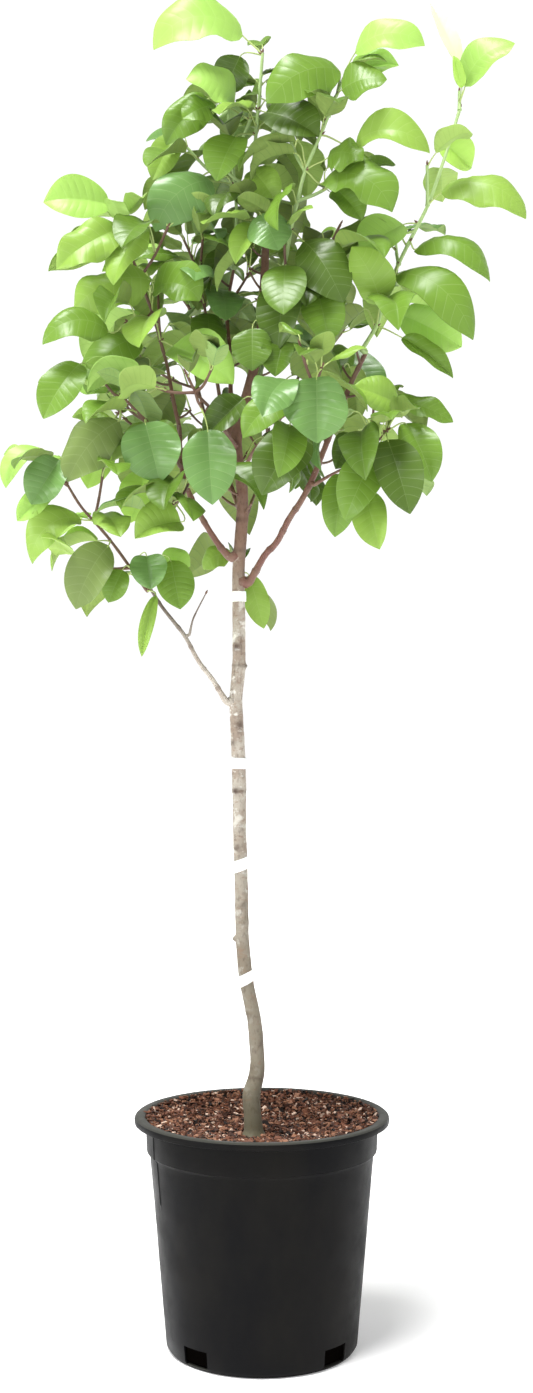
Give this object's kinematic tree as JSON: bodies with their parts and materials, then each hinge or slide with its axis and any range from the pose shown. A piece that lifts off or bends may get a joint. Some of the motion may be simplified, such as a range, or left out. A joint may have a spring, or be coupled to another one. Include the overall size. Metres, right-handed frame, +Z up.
{
  "type": "potted pear tree",
  "caption": "Young pear tree with a slender, slightly wavy trunk, ascending boughs and glossy oval leaves, standing in a black nursery pot filled with bark chips.",
  "frame": {"origin": "middle of the pot's flat underside", "axes": "+Z up along the tree's height, -Y towards the viewer of the front"},
  "size_m": [0.5527, 0.4648, 1.475],
  "materials": {
    "pot": "satin black moulded plastic",
    "soil": "loose red-brown bark chips",
    "trunk": "grey-brown young bark, pale patches",
    "bough_low_left": "smooth red-brown young bark",
    "bough_left": "smooth red-brown young bark",
    "bough_right": "smooth red-brown young bark",
    "bough_right_side": "smooth red-brown young bark",
    "bough_middle": "smooth red-brown young bark",
    "bough_middle_left": "smooth red-brown young bark",
    "bough_back_left": "smooth red-brown young bark",
    "bough_back_right": "smooth red-brown young bark",
    "bough_front": "smooth red-brown young bark",
    "bough_front_left": "smooth red-brown young bark",
    "twig_bare": "smooth red-brown young bark",
    "tie_top": "matt white band",
    "tie_upper": "matt white band",
    "tie_middle": "matt white band",
    "tie_low": "matt white band",
    "leaves_low_left": "glossy green leaves on slender green twigs",
    "leaves_left_spur": "glossy green leaves on slender green twigs",
    "leaves_left_far": "glossy green leaves on slender green twigs",
    "leaves_left_top": "glossy green leaves on slender green twigs",
    "leaves_top_left": "glossy green leaves on slender green twigs",
    "leaves_top": "glossy green leaves on slender green twigs",
    "leaves_top_right": "glossy green leaves on slender green twigs",
    "leaves_right_top": "glossy green leaves on slender green twigs",
    "leaves_right_low": "glossy green leaves on slender green twigs",
    "leaves_middle_left": "glossy green leaves on slender green twigs",
    "leaves_middle_right": "glossy green leaves on slender green twigs",
    "leaves_front": "glossy green leaves on slender green twigs",
    "leaves_front_left": "glossy green leaves on slender green twigs",
    "leaves_low": "glossy green leaves on slender green twigs",
    "leaves_back_left": "glossy green leaves on slender green twigs",
    "leaves_back_right": "glossy green leaves on slender green twigs",
    "leaves_back": "glossy green leaves on slender green twigs"
  },
  "bodies": {
    "root": {"pot": "pot", "soil": "soil", "trunk": "trunk", "bough_low_left": "bough_low_left", "bough_left": "bough_left", "bough_right": "bough_right", "bough_right_side": "bough_right_side", "bough_middle": "bough_middle", "bough_middle_left": "bough_middle_left", "bough_back_left": "bough_back_left", "bough_back_right": "bough_back_right", "bough_front": "bough_front", "bough_front_left": "bough_front_left", "twig_bare": "twig_bare", "tie_top": "tie_top", "tie_upper": "tie_upper", "tie_middle": "tie_middle", "tie_low": "tie_low", "leaves_low_left": "leaves_low_left", "leaves_left_spur": "leaves_left_spur", "leaves_left_far": "leaves_left_far", "leaves_left_top": "leaves_left_top", "leaves_top_left": "leaves_top_left", "leaves_top": "leaves_top", "leaves_top_right": "leaves_top_right", "leaves_right_top": "leaves_right_top", "leaves_right_low": "leaves_right_low", "leaves_middle_left": "leaves_middle_left", "leaves_middle_right": "leaves_middle_right", "leaves_front": "leaves_front", "leaves_front_left": "leaves_front_left", "leaves_low": "leaves_low", "leaves_back_left": "leaves_back_left", "leaves_back_right": "leaves_back_right", "leaves_back": "leaves_back"}
  },
  "joints": []
}
